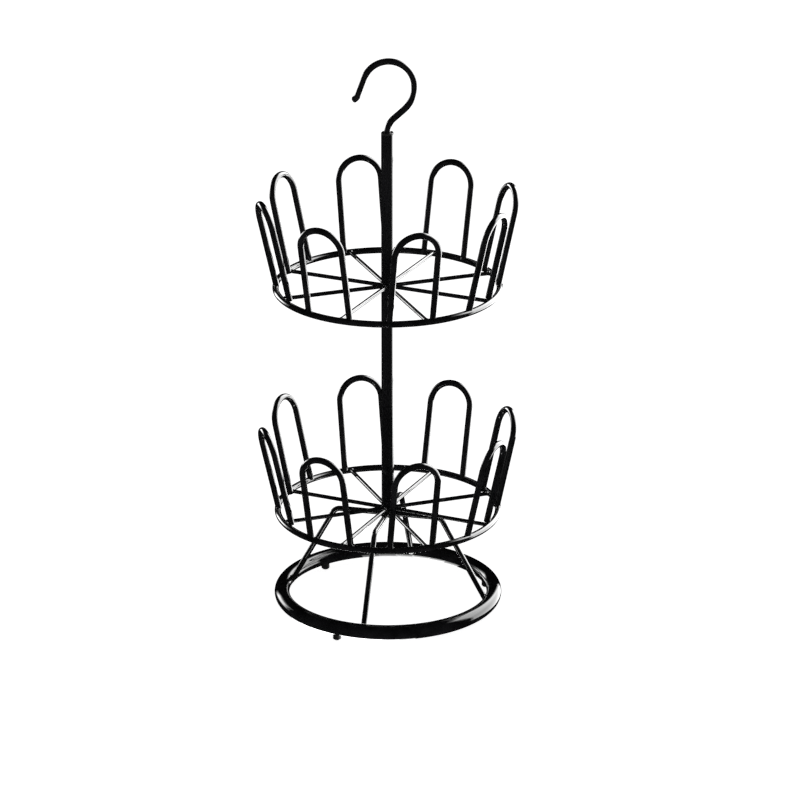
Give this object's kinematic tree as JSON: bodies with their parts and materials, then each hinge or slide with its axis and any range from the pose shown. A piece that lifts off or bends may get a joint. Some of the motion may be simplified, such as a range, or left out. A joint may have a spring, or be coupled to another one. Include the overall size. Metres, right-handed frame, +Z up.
{
  "type": "rotating shoe tower",
  "caption": "Tiered rotating shoe tower of black steel rod: round trays ringed with leaning shoe loops on a pole that turns on a ring base, with a swivelling hanger hook on top.",
  "frame": {"origin": "on the floor, on the axis that the tower turns about", "axes": "+Z up along the pole; the hook lies in the XZ plane at rest, its open side towards -X; the front is -Y"},
  "size_m": [0.3274, 0.3274, 0.7241],
  "materials": {
    "frame_enamel": "gloss black enamel",
    "pole_enamel": "gloss black enamel",
    "tray_enamel": "gloss black enamel",
    "loop_enamel": "gloss black enamel",
    "hook_enamel": "gloss black enamel",
    "foot_rubber": "matt black rubber",
    "zinc_steel": "bright zinc plate",
    "sleeve_steel": "plain drawn steel",
    "nylon": "black nylon",
    "plug_plastic": "gloss black plastic"
  },
  "bodies": {
    "base": {"base_ring": "frame_enamel", "foot_rear_right": "foot_rubber", "foot_rear_left": "foot_rubber", "foot_front_left": "foot_rubber", "base_boss": "frame_enamel", "base_leg_1": "frame_enamel", "base_leg_2": "frame_enamel", "base_leg_3": "frame_enamel", "base_leg_4": "frame_enamel", "spindle": "zinc_steel", "thrust_washer": "nylon", "spindle_clip": "zinc_steel"},
    "tower": {"lower_bush": "nylon", "upper_bush": "nylon", "lower_pole": "pole_enamel", "upper_pole": "pole_enamel", "pole_sleeve": "sleeve_steel", "lower_tray_ring": "tray_enamel", "lower_spoke_1": "tray_enamel", "lower_spoke_2": "tray_enamel", "lower_spoke_3": "tray_enamel", "lower_spoke_4": "tray_enamel", "lower_spoke_5": "tray_enamel", "lower_spoke_6": "tray_enamel", "lower_spoke_7": "tray_enamel", "lower_spoke_8": "tray_enamel", "lower_loop_1": "loop_enamel", "lower_loop_2": "loop_enamel", "lower_loop_3": "loop_enamel", "lower_loop_4": "loop_enamel", "lower_loop_5": "loop_enamel", "lower_loop_6": "loop_enamel", "lower_loop_7": "loop_enamel", "lower_loop_8": "loop_enamel", "upper_tray_ring": "tray_enamel", "upper_spoke_1": "tray_enamel", "upper_spoke_2": "tray_enamel", "upper_spoke_3": "tray_enamel", "upper_spoke_4": "tray_enamel", "upper_spoke_5": "tray_enamel", "upper_spoke_6": "tray_enamel", "upper_spoke_7": "tray_enamel", "upper_spoke_8": "tray_enamel", "upper_loop_1": "loop_enamel", "upper_loop_2": "loop_enamel", "upper_loop_3": "loop_enamel", "upper_loop_4": "loop_enamel", "upper_loop_5": "loop_enamel", "upper_loop_6": "loop_enamel", "upper_loop_7": "loop_enamel", "upper_loop_8": "loop_enamel", "pole_plug": "plug_plastic"},
    "hook": {"hook": "hook_enamel", "hook_washer": "zinc_steel", "hook_nut": "zinc_steel"}
  },
  "joints": [
    {"name": "tower_spin", "type": "hinge", "parent": "base", "child": "tower", "pos_m": [0, 0, 0.1277], "axis": [0, 0, 1], "continuous": true},
    {"name": "hook_swivel", "type": "hinge", "parent": "tower", "child": "hook", "pos_m": [0, 0, 0.6295], "axis": [0, 0, 1], "continuous": true}
  ]
}
